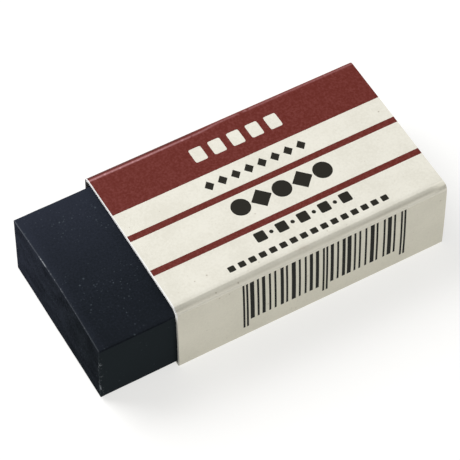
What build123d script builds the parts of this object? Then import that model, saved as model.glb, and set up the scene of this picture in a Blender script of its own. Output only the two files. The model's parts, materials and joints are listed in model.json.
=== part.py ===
from build123d import *
import os
from math import cos, radians, sin, tan

# A block eraser in a sleeve folded from one sheet of printed card. Lengths are in millimetres.
# X runs along the block, with its bare end at -X. The sleeve's front panel faces -Y and its
# glued seam faces +Y. Z is up. The origin lies under the middle of the whole eraser, on the
# surface that the sleeve's bottom panel rests on.

# Eraser block, cut from a strip: the strip's long edges are a little round, the cut ends crisp
block_length = 53.0
block_width = 24.0
block_height = 11.0
long_edge_radius = 0.2
end_edge_break = 0.1

# Card sleeve
sleeve_length = 42.0
card_thickness = 0.4
end_recess = 0.3  # how far the covered end of the block stops short of the sleeve's end

# Room between the block and the card that surrounds it
under_clearance = 0.05
over_clearance = 0.9
front_clearance = 0.3
rear_clearance = 0.1

# Folds, with radii on the inside of the card
bottom_fold_radius = 0.1
top_rear_fold_radius = 0.4
top_front_fold_radius = 0.15

# The top front fold was scored wide: a narrow band of the top panel slopes down to it from a crease
crease_radius = 0.4
band_angle = 70.0  # degrees from upright
band_clearance = 0.5  # from the block's upper front edge

# Glued seam up the rear side: the outer panel comes down over a flap that comes up from below
seam_edge_lift = 0.1  # from the top of the bottom fold to the outer panel's free edge
flap_edge_drop = 1.2  # from the underside of the top panel to the flap's free edge
flap_end_angle = 12.0  # degrees from upright: the flap narrows towards its free edge

# Where the card's inner faces lie
inner_bottom = card_thickness
block_bottom = inner_bottom + under_clearance
block_top = block_bottom + block_height
inner_top = block_top + over_clearance
inner_width = front_clearance + block_width + rear_clearance
sleeve_width = inner_width + 3 * card_thickness  # one layer in front, two at the glued rear
inner_front = card_thickness - sleeve_width / 2
inner_rear = inner_front + inner_width
block_front = inner_front + front_clearance

# Where the seam's two layers begin and end
flap_root = inner_bottom + bottom_fold_radius
flap_edge = inner_top - flap_edge_drop
seam_edge = flap_root + seam_edge_lift

# Ends along the length
whole_length = block_length + end_recess
bare_end = -whole_length / 2
sleeve_end = whole_length / 2
sleeve_mouth = sleeve_end - sleeve_length


def make_eraser_block():
    """The block, lying in its place inside the sleeve."""
    corner = (bare_end, block_front, block_bottom)
    block = Pos(*corner) * Box(block_length, block_width, block_height, align=Align.MIN)
    block = fillet(block.edges().filter_by(Axis.X), long_edge_radius)
    cut_ends = block.faces().filter_by(Axis.X)
    return chamfer(cut_ends.edges(), end_edge_break)


def band_ends(front_middle, top_middle):
    """The top front fold and the crease behind it, as points on the middle line of the card.

    The band between them slopes over the block's upper front edge and clears it by band_clearance.
    """
    lean = radians(band_angle)
    edge_distance = sin(lean) * block_top - cos(lean) * block_front
    band_distance = edge_distance + band_clearance + card_thickness / 2
    fold_height = (band_distance + cos(lean) * front_middle) / sin(lean)
    crease_place = (sin(lean) * top_middle - band_distance) / cos(lean)
    return (front_middle, fold_height), (crease_place, top_middle)


def flap_end_offcuts():
    """The two wedges of card that fall away where the ends of the glue flap are cut at an angle."""
    setback = (flap_edge - flap_root) * tan(radians(flap_end_angle))
    offcuts = []
    for end, inward in ((sleeve_mouth, setback), (sleeve_end, -setback)):
        outline = Polyline((end, flap_root), (end, flap_edge), (end + inward, flap_edge), close=True)
        wedge = Plane.XZ.offset(-inner_rear) * make_face(outline)
        offcuts.append(extrude(wedge, -card_thickness))
    return offcuts


def make_card_sleeve():
    """The sleeve: one sheet, folded round the block from the glue flap to the outer rear panel."""
    half_card = card_thickness / 2
    front_middle = inner_front - half_card
    bottom_middle = inner_bottom - half_card
    top_middle = inner_top + half_card
    flap_middle = inner_rear + half_card
    seam_middle = flap_middle + card_thickness
    front_fold, crease = band_ends(front_middle, top_middle)
    inside_radii = (
        bottom_fold_radius,
        bottom_fold_radius,
        top_front_fold_radius,
        crease_radius,
        top_rear_fold_radius,
    )

    middle_line = FilletPolyline(
        (flap_middle, flap_edge),
        (flap_middle, bottom_middle),
        (front_middle, bottom_middle),
        front_fold,
        crease,
        (seam_middle, top_middle),
        (seam_middle, seam_edge),
        radius=[radius + half_card for radius in inside_radii],
    )
    stretches = [trace(stretch, card_thickness) for stretch in middle_line.edges()]
    section = Sketch() + stretches  # the seam's two layers become one where they are glued
    folded_sheet = extrude(Plane.YZ.offset(sleeve_mouth) * section, sleeve_length)
    return folded_sheet - flap_end_offcuts()


os.makedirs("parts", exist_ok=True)
export_step(make_eraser_block(), "parts/eraser_block.step")
export_step(make_card_sleeve(), "parts/card_sleeve.step")
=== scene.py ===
import json
import logging
from abc import ABC, abstractmethod
from dataclasses import dataclass, fields
from enum import Enum, IntEnum
from math import exp, hypot, pi, radians, sin, tan
from typing import Callable, ClassVar

import bmesh
import bpy
from mathutils import Matrix, Vector, noise


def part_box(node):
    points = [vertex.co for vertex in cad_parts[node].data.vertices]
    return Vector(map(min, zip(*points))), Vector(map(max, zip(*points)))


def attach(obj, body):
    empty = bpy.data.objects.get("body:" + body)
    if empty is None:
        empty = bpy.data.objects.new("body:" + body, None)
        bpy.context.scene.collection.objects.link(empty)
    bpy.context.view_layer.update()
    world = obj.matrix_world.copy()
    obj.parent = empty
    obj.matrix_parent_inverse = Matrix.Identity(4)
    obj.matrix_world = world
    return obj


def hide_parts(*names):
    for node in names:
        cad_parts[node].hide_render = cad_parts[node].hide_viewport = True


# The looks of a block eraser in a sleeve folded from printed card. Lengths are in millimetres
# while a piece is on the bench, and settling a piece brings it to the frame's metres. A pair of
# depths, reaches or tones says where a change in a finish starts and where it is complete.
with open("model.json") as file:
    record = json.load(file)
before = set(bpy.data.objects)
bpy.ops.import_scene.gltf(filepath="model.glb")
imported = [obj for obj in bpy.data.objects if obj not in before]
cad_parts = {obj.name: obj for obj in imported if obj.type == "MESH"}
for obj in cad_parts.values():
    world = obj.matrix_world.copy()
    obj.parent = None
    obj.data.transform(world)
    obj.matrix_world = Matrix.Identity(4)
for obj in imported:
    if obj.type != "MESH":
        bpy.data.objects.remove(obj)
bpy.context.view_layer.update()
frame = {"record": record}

MM = 0.001
HALF = 0.5
RIGHT_ANGLE = 90.0

Socket = bpy.types.NodeSocket
Value = float | tuple | Socket
Feeds = dict[str | int, Value]
Pair = tuple[float, float]
Triple = tuple[float, float, float]
Colour = tuple[float, float, float, float]
Share = Callable[[Vector], float]
EdgeTest = Callable[[Vector, Vector], bool]

log = logging.getLogger("eraser")


class Start(Enum):
    """The primitive that a piece starts from."""

    SHEET = "plane"
    BLOCK = "cube"


class Axis(IntEnum):
    """The frame's axes, by their numbers in a vector."""

    ALONG = 0
    ACROSS = 1
    UP = 2


class Push(Enum):
    """The way in which a press moves the surface."""

    ALONG = "X"
    ACROSS = "Y"
    UP = "Z"
    OUT = "NORMAL"


class Easing(Enum):
    """The way in which a graded value runs from one end to the other."""

    EVEN = "LINEAR"
    SOFT = "SMOOTHSTEP"


class MarkShape(Enum):
    """The outline of a printed mark, as the power of a superellipse."""

    DIAMOND = 1.0
    DISC = 2.0
    BLOCK = 9.0


def hold(value: float) -> float:
    """Holds a value between 0 and 1."""
    return min(max(value, 0.0), 1.0)


def smooth(value: float) -> float:
    """Eases a value from 0 to 1, level at both ends."""
    held = hold(value)
    return held * held * (3.0 - 2.0 * held)


def bump(offset: float, half_width: float) -> float:
    """A rounded bump: 1 in the middle and 0 at half_width to either side."""
    return smooth(1.0 - abs(offset) / half_width)


def bell(offset: float, reach: float) -> float:
    """A bell: 1 in the middle, with long tails to either side of its reach."""
    return exp(-((offset / reach) ** 2))


def lift(least: float, share: float) -> float:
    """Raises a share, so that it runs from a least value to 1."""
    return least + (1.0 - least) * share


def box_in_mm(node: str) -> tuple[Vector, Vector]:
    """Finds the lowest and highest corners of a node of the frame, in millimetres."""
    low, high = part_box(node)
    return low / MM, high / MM


class Workpiece:
    """A mesh on the bench, in millimetres, with the operations that shape it."""

    def __init__(self, name: str, start: Start, low: Vector, high: Vector) -> None:
        """Adds a primitive at its size and place and opens it for editing.

        Args:
            name: the finished piece's name.
            start: the primitive.
            low: the primitive's lowest corner.
            high: the primitive's highest corner.
        """
        bpy.ops.object.select_all(action="DESELECT")
        centre = (low + high) / 2
        if start is Start.SHEET:
            bpy.ops.mesh.primitive_plane_add(size=1, location=centre)
        else:
            bpy.ops.mesh.primitive_cube_add(size=1, location=centre)
        self.body = bpy.context.active_object
        self.body.name = name
        self.body.data.name = name
        self.body.scale = [side if side > 0 else 1.0 for side in high - low]
        bpy.ops.object.transform_apply(location=True, rotation=False, scale=True)
        bpy.ops.object.mode_set(mode="EDIT")

    def pick_edges(self, wanted: EdgeTest) -> None:
        """Selects the edges whose two ends pass a test.

        Args:
            wanted: the test, given both ends of an edge.
        """
        bpy.ops.mesh.select_mode(type="EDGE")
        bpy.ops.mesh.select_all(action="DESELECT")
        mesh = bmesh.from_edit_mesh(self.body.data)
        for edge in mesh.edges:
            edge.select_set(wanted(edge.verts[0].co, edge.verts[1].co))
        bmesh.update_edit_mesh(self.body.data)

    def fold_out(self, *runs: Vector) -> None:
        """Extrudes the picked edges by each run in turn, as panels that follow one another."""
        for run in runs:
            bpy.ops.mesh.extrude_region_move(TRANSFORM_OT_translate={"value": run})

    def shorten(self, share: float) -> None:
        """Draws the ends of the picked edges together along X, to a share of their length."""
        bpy.ops.transform.resize(value=(share, 1.0, 1.0))

    def round_edges(self, wanted: EdgeTest, offset: float, flats: int) -> None:
        """Bevels the edges that pass a test.

        Args:
            wanted: the test, given both ends of an edge.
            offset: how far the bevel reaches along each face.
            flats: how many flats the bevel has.
        """
        self.pick_edges(wanted)
        bpy.ops.mesh.bevel(offset_type="OFFSET", offset=offset, segments=flats, affect="EDGES")

    def cut_edges(self, wanted: EdgeTest, cuts: int) -> None:
        """Divides the edges that pass a test, and the faces between them.

        Args:
            wanted: the test, given both ends of an edge.
            cuts: how many new points each edge gets.
        """
        self.pick_edges(wanted)
        bpy.ops.mesh.subdivide(number_cuts=cuts)

    def turn_outwards(self) -> None:
        """Makes the faces of a closed shape point outwards."""
        bpy.ops.mesh.select_all(action="SELECT")
        bpy.ops.mesh.normals_make_consistent(inside=False)

    def flip(self) -> None:
        """Turns every face over."""
        bpy.ops.mesh.select_all(action="SELECT")
        bpy.ops.mesh.flip_normals()

    def apply(self, modifier: bpy.types.Modifier) -> None:
        """Applies a modifier to the mesh."""
        bpy.context.view_layer.objects.active = self.body
        bpy.ops.object.modifier_apply(modifier=modifier.name)

    def press(self, push: Push, depth: float, share: Share, lump: float = 0.0) -> None:
        """Moves the surface by a depth, times a share that depends on the place.

        Args:
            push: the way in which the surface moves.
            depth: the distance at a share of 1.
            share: gives the share at a place, from 0 to 1.
            lump: the size of cloudy lumps that make the depth uneven, or 0 for an even depth.
        """
        bpy.ops.object.mode_set(mode="OBJECT")
        group = self.body.vertex_groups.new(name="press")
        for vertex in self.body.data.vertices:
            weight = share(vertex.co)
            if weight > 0.0:
                group.add([vertex.index], min(weight, 1.0), "REPLACE")
        modifier = self.body.modifiers.new("press", "DISPLACE")
        modifier.direction = push.value
        modifier.strength = depth
        modifier.mid_level = 0.0
        modifier.vertex_group = group.name
        if lump > 0.0:
            cloud = bpy.data.textures.new("lumps", type="CLOUDS")
            cloud.noise_scale = lump
            modifier.texture = cloud
            modifier.texture_coords = "LOCAL"
            modifier.mid_level = HALF
        self.apply(modifier)
        self.body.vertex_groups.clear()

    def dress(self, *finishes: bpy.types.Material) -> None:
        """Gives the piece its finishes, in the order of its material slots."""
        for finish in finishes:
            self.body.data.materials.append(finish)

    def settle(self, smooth_angle: float) -> None:
        """Brings the piece to metres and shades it.

        Args:
            smooth_angle: edges that turn by less than this, in degrees, are shaded smooth.
        """
        bpy.ops.object.mode_set(mode="OBJECT")
        self.body.scale = (MM, MM, MM)
        bpy.ops.object.transform_apply(location=True, rotation=True, scale=True)
        bpy.ops.object.shade_smooth_by_angle(angle=radians(smooth_angle))

    def install(self, node: str) -> bpy.types.Object:
        """Puts the piece in the place of a node of the frame.

        Args:
            node: the node that the piece stands for.

        Returns:
            The finished object.
        """
        record = frame["record"]
        bodies = record["behaviour"]["bodies"]
        body = next(name for name, nodes in bodies.items() if node in nodes)
        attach(self.body, body)
        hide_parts(node)
        return self.body


class NodeDesk:
    """Adds nodes to one shader tree and joins them."""

    MIX_INPUTS: ClassVar[tuple[int, ...]] = (0, 6, 7)
    MIX_OUTPUT: ClassVar[int] = 2

    def __init__(self, tree: bpy.types.NodeTree) -> None:
        """Takes the tree to work on."""
        self.tree = tree

    def feed(self, target: Socket, value: Value) -> None:
        """Sets a socket, or links another socket to it.

        Args:
            target: the socket that is fed.
            value: a plain value, or the socket that feeds it.
        """
        if isinstance(value, bpy.types.NodeSocket):
            self.tree.links.new(value, target)
        else:
            target.default_value = value

    def fill(self, node: bpy.types.Node, feeds: Feeds) -> None:
        """Feeds the sockets of a node, by their names or their numbers."""
        for name, value in feeds.items():
            self.feed(node.inputs[name], value)

    def add(self, kind: str, feeds: Feeds | None = None, **settings: object) -> bpy.types.Node:
        """Adds a node.

        Args:
            kind: the node's type.
            feeds: what its sockets are fed with.
            settings: its own settings.

        Returns:
            The node.
        """
        node = self.tree.nodes.new(kind)
        for name, setting in settings.items():
            setattr(node, name, setting)
        self.fill(node, feeds or {})
        return node

    def maths(self, operation: str, *values: Value) -> Socket:
        """Adds a math node and gives its result, with the values fed in order."""
        return self.add("ShaderNodeMath", dict(enumerate(values)), operation=operation).outputs[0]

    def chain(self, operation: str, *values: Value) -> Socket:
        """Joins values by one operation, from the first to the last.

        Args:
            operation: the operation of the math nodes.
            values: the values.

        Returns:
            The result's socket.
        """
        joined = values[0]
        for value in values[1:]:
            joined = self.maths(operation, joined, value)
        return joined

    def plus(self, *values: Value) -> Socket:
        """The sum of values."""
        return self.chain("ADD", *values)

    def minus(self, value: Value, other: Value) -> Socket:
        """A value, less another."""
        return self.maths("SUBTRACT", value, other)

    def times(self, *values: Value) -> Socket:
        """The product of values."""
        return self.chain("MULTIPLY", *values)

    def ratio(self, value: Value, other: Value) -> Socket:
        """A value, divided by another."""
        return self.maths("DIVIDE", value, other)

    def away(self, value: Socket, middle: Value) -> Socket:
        """How far a value lies from a middle, to either side."""
        return self.maths("ABSOLUTE", self.minus(value, middle))

    def all_of(self, *masks: Socket) -> Socket:
        """The mask of places that every given mask covers."""
        return self.chain("MULTIPLY", *masks)

    def any_of(self, *masks: Socket) -> Socket:
        """The mask of places that one or more of the given masks cover."""
        return self.chain("MAXIMUM", *masks)

    def without(self, mask: Socket, other: Socket) -> Socket:
        """The mask of places that one mask covers and another doesn't."""
        return self.minus(mask, self.all_of(mask, other))

    def above(self, value: Value, edge: Value) -> Socket:
        """The mask of places where a value is over an edge."""
        return self.maths("GREATER_THAN", value, edge)

    def below(self, value: Value, edge: Value) -> Socket:
        """The mask of places where a value is under an edge."""
        return self.maths("LESS_THAN", value, edge)

    def between(self, value: Socket, low: Value, high: Value) -> Socket:
        """The mask of places where a value lies between two others."""
        return self.all_of(self.above(value, low), self.below(value, high))

    def grade(
        self,
        value: Socket,
        start: Value,
        end: Value,
        low: float = 0.0,
        high: float = 1.0,
        easing: Easing = Easing.EVEN,
    ) -> Socket:
        """Grades a value from low at the start to high at the end, and holds it beyond both.

        Args:
            value: the value.
            start: where the result is low.
            end: where the result is high.
            low: the result at the start.
            high: the result at the end.
            easing: the way from one to the other.

        Returns:
            The result's socket.
        """
        feeds = {"Value": value, "From Min": start, "From Max": end, "To Min": low, "To Max": high}
        node = self.add("ShaderNodeMapRange", feeds, interpolation_type=easing.value)
        return node.outputs["Result"]

    def ramp(self, value: Socket, start: Value, end: Value) -> Socket:
        """Eases a value so that it is 0 at the start and 1 at the end."""
        return self.grade(value, start, end, easing=Easing.SOFT)

    def blend(self, share: Value, first: Value, second: Value) -> Socket:
        """Blends two colours.

        Args:
            share: the share of the second colour.
            first: the first colour.
            second: the second colour.

        Returns:
            The blended colour's socket.
        """
        feeds = dict(zip(self.MIX_INPUTS, (share, first, second)))
        return self.add("ShaderNodeMix", feeds, data_type="RGBA").outputs[self.MIX_OUTPUT]

    def coat(self, colour: Value, *coats: tuple[Value, Value]) -> Socket:
        """Lays coats of colour over one another.

        Args:
            colour: the ground.
            coats: the mask and the colour of each coat, from the lowest to the topmost.

        Returns:
            The resulting colour's socket.
        """
        for mask, coating in coats:
            colour = self.blend(mask, colour, coating)
        return colour

    def scaled(self, vector: Socket, factor: Value) -> Socket:
        """A vector or a colour, times a factor."""
        feeds = {"Vector": vector, "Scale": factor}
        return self.add("ShaderNodeVectorMath", feeds, operation="SCALE").outputs["Vector"]

    def place(self) -> Socket:
        """The place on the piece, in millimetres."""
        return self.scaled(self.add("ShaderNodeTexCoord").outputs["Object"], 1 / MM)

    def split(self, vector: Socket) -> tuple[Socket, Socket, Socket]:
        """The X, Y and Z of a vector."""
        return tuple(self.add("ShaderNodeSeparateXYZ", {"Vector": vector}).outputs)

    def distance(self, first: Socket, first_at: float, second: Socket, second_at: float) -> Socket:
        """Measures how far a place lies from a line along the third axis.

        Args:
            first: the place's first coordinate.
            first_at: where the line lies on the first axis.
            second: the place's second coordinate.
            second_at: where the line lies on the second axis.

        Returns:
            The distance's socket.
        """
        offsets = (self.away(first, first_at), self.away(second, second_at))
        squares = [self.maths("POWER", offset, 2.0) for offset in offsets]
        return self.maths("SQRT", self.plus(*squares))

    def relief(self, height: Socket, depth: float) -> Socket:
        """The normal of a fine relief, from its height at 0 to 1 and its depth in millimetres."""
        feeds = {"Height": height, "Distance": depth * MM, "Strength": 1.0}
        return self.add("ShaderNodeBump", feeds).outputs["Normal"]


class Effect(ABC):
    """A shader node group, built once, that a finish places with the values of the effect's fields."""

    FED: ClassVar[tuple[str, ...]] = ()

    @classmethod
    @abstractmethod
    def wire(cls, desk: NodeDesk, place: Socket, given: dict[str, Socket]) -> Socket:
        """Builds the inside of the group.

        Args:
            desk: the group's own tree.
            place: the place on the piece.
            given: the group's inputs, by name.

        Returns:
            What the group puts out.
        """

    @classmethod
    def tree(cls) -> bpy.types.NodeTree:
        """Finds the group, or builds it on its first use.

        Returns:
            The group's tree.
        """
        found = bpy.data.node_groups.get(cls.__name__)
        if found:
            return found
        tree = bpy.data.node_groups.new(cls.__name__, "ShaderNodeTree")
        tree.interface.new_socket(name="place", in_out="INPUT", socket_type="NodeSocketVector")
        for name in (*cls.FED, *(field.name for field in fields(cls))):
            tree.interface.new_socket(name=name, in_out="INPUT", socket_type="NodeSocketFloat")
        tree.interface.new_socket(name="share", in_out="OUTPUT", socket_type="NodeSocketFloat")
        desk = NodeDesk(tree)
        given = {socket.name: socket for socket in desk.add("NodeGroupInput").outputs}
        desk.add("NodeGroupOutput", {"share": cls.wire(desk, given["place"], given)})
        return tree

    def put(self, desk: NodeDesk, place: Socket, **fed: Socket) -> Socket:
        """Places the group in a finish.

        Args:
            desk: the finish's tree.
            place: the place on the piece.
            fed: the inputs that other nodes feed, by name.

        Returns:
            What the group puts out there.
        """
        node = desk.add("ShaderNodeGroup", {"place": place, **fed}, node_tree=self.tree())
        for field in fields(self):
            value = getattr(self, field.name)
            desk.feed(node.inputs[field.name], value.value if isinstance(value, Enum) else value)
        return node.outputs["share"]


@dataclass(frozen=True)
class Grain(Effect):
    """Uneven tone: the size of its clouds, and how finely they are broken up."""

    size: Value
    detail: float

    @classmethod
    def wire(cls, desk: NodeDesk, place: Socket, given: dict[str, Socket]) -> Socket:
        """Builds the inside of the group.

        Args:
            desk: the group's own tree.
            place: the place on the piece.
            given: the group's inputs, by name.

        Returns:
            The tone, from 0 to 1.
        """
        scale = desk.ratio(1.0, given["size"])
        feeds = {"Vector": place, "Scale": scale, "Detail": given["detail"]}
        return desk.add("ShaderNodeTexNoise", feeds).outputs[0]


@dataclass(frozen=True)
class Flecks(Effect):
    """Scattered specks, each of its own size and strength: their spacing, radius and strength."""

    spacing: float
    radius: float
    strength: float = 1.0
    SMALLEST: ClassVar[float] = 0.25
    CORE: ClassVar[float] = 0.4

    @classmethod
    def wire(cls, desk: NodeDesk, place: Socket, given: dict[str, Socket]) -> Socket:
        """Builds the inside of the group.

        Args:
            desk: the group's own tree.
            place: the place on the piece.
            given: the group's inputs, by name.

        Returns:
            The specks' mask.
        """
        feeds = {"Vector": place, "Scale": desk.ratio(1.0, given["spacing"])}
        cells = desk.add("ShaderNodeTexVoronoi", feeds).outputs
        from_middle = desk.times(cells["Distance"], given["spacing"])
        chance = desk.add("ShaderNodeSeparateColor", {"Color": cells["Color"]}).outputs
        reach = desk.times(given["radius"], desk.plus(chance[0], cls.SMALLEST))
        spot = desk.ramp(from_middle, reach, desk.times(reach, cls.CORE))
        return desk.times(spot, chance[1], given["strength"])


@dataclass(frozen=True)
class EdgeWearAndLight(Effect):
    """A patchy line along an edge, laid as wear and as painted light and shade: its width, its patches'
    size and cover, and its strength.
    """

    width: float
    patch: float
    cover: float
    strength: float = 1.0
    FED: ClassVar[tuple[str, ...]] = ("distance",)
    PATCH_DETAIL: ClassVar[float] = 3.0
    PATCH_FADE: ClassVar[float] = 0.15

    @classmethod
    def wire(cls, desk: NodeDesk, place: Socket, given: dict[str, Socket]) -> Socket:
        """Builds the inside of the group.

        Args:
            desk: the group's own tree.
            place: the place on the piece.
            given: the group's inputs, by name, with the distance from the edge among them.

        Returns:
            The line's mask.
        """
        near = desk.ramp(given["distance"], given["width"], 0.0)
        patches = Grain(given["patch"], cls.PATCH_DETAIL).put(desk, place)
        bare = desk.minus(1.0, given["cover"])
        patchy = desk.ramp(patches, bare, desk.plus(bare, cls.PATCH_FADE))
        return desk.times(near, patchy, given["strength"])


@dataclass(frozen=True)
class MarkRow(Effect):
    """A printed row of equal marks along X, in the sleeve's own place."""

    shape: MarkShape
    start: float
    pitch: float
    count: float
    middle: float
    half_length: float
    half_height: float

    @classmethod
    def wire(cls, desk: NodeDesk, place: Socket, given: dict[str, Socket]) -> Socket:
        """Builds the inside of the group.

        Args:
            desk: the group's own tree.
            place: the place on the piece.
            given: the group's inputs, by name.

        Returns:
            The row's mask.
        """
        along, across, _ = desk.split(place)
        steps = desk.ratio(desk.minus(along, given["start"]), given["pitch"])
        beside = desk.times(desk.away(desk.maths("FRACT", steps), HALF), given["pitch"])
        over = desk.away(across, given["middle"])
        shares = (desk.ratio(beside, given["half_length"]), desk.ratio(over, given["half_height"]))
        powers = [desk.maths("POWER", share, given["shape"]) for share in shares]
        inside = desk.below(desk.plus(*powers), 1.0)
        return desk.all_of(inside, desk.between(steps, 0.0, given["count"]))


@dataclass(frozen=True)
class BarField(Effect):
    """A printed field of upright bars of chance widths, with three pairs of longer bars."""

    start: float
    module: float
    count: float
    top: float
    foot: float
    long_foot: float
    slant: float
    chance: float
    PAIR_SPACING: ClassVar[float] = 46.0
    PAIR_MODULES: ClassVar[float] = 3.2
    GAP: ClassVar[float] = 1.0
    CELLS: ClassVar[float] = 12.0
    THINNEST: ClassVar[float] = 1.2
    # The chances over which a bar is wider, each with what it gains
    WIDENINGS: ClassVar[tuple[Pair, ...]] = ((0.4, 0.7), (0.75, 0.5))

    @classmethod
    def wire(cls, desk: NodeDesk, place: Socket, given: dict[str, Socket]) -> Socket:
        """Builds the inside of the group.

        Args:
            desk: the group's own tree.
            place: the place on the piece.
            given: the group's inputs, by name.

        Returns:
            The bars' mask.
        """
        along, _, up = desk.split(place)
        leaning = desk.times(desk.minus(given["top"], up), given["slant"])
        from_start = desk.minus(desk.minus(along, leaning), given["start"])
        modules = desk.ratio(from_start, given["module"])
        past_pair = desk.maths("MODULO", modules, cls.PAIR_SPACING)
        of_pair = desk.below(past_pair, cls.PAIR_MODULES)
        in_bar = desk.below(desk.maths("MODULO", past_pair, 2 * cls.GAP), cls.THINNEST)
        long_bar = desk.all_of(of_pair, in_bar, desk.between(up, given["long_foot"], given["top"]))

        cell_modules = (cls.PAIR_SPACING - cls.PAIR_MODULES - 2 * cls.GAP) / cls.CELLS
        cells = desk.ratio(desk.minus(past_pair, cls.PAIR_MODULES + cls.GAP), cell_modules)
        cell = desk.maths("FLOOR", cells)
        half_field = desk.maths("FLOOR", desk.ratio(modules, cls.PAIR_SPACING))
        number = desk.plus(desk.times(half_field, cls.CELLS), cell, given["chance"])
        draw = desk.add("ShaderNodeTexWhiteNoise", {"W": number}, noise_dimensions="1D").outputs
        chances = desk.add("ShaderNodeSeparateColor", {"Color": draw["Color"]}).outputs
        gains = [desk.times(desk.above(chances[0], least), gain) for least, gain in cls.WIDENINGS]
        width = desk.plus(*gains, cls.THINNEST)
        left = desk.times(chances[1], desk.minus(cell_modules - cls.GAP, width))
        in_cell = desk.times(desk.maths("FRACT", cells), cell_modules)
        short_bar = desk.all_of(
            desk.between(cell, -HALF, cls.CELLS - HALF),
            desk.between(in_cell, left, desk.plus(left, width)),
            desk.between(up, given["foot"], given["top"]),
        )
        in_field = desk.between(modules, 0.0, given["count"])
        return desk.all_of(in_field, desk.any_of(long_bar, short_bar))


@dataclass(frozen=True)
class Finish(ABC):
    """A material of the piece, with its values."""

    name: str

    @abstractmethod
    def wire(self, desk: NodeDesk, shader: bpy.types.Node) -> None:
        """Builds the nodes that feed the shader.

        Args:
            desk: the material's tree.
            shader: its Principled BSDF.
        """

    def make(self) -> bpy.types.Material:
        """Makes the material, with its nodes.

        Returns:
            The material.
        """
        material = bpy.data.materials.new(self.name)
        material.use_nodes = True
        desk = NodeDesk(material.node_tree)
        self.wire(desk, material.node_tree.nodes["Principled BSDF"])
        return material


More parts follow.
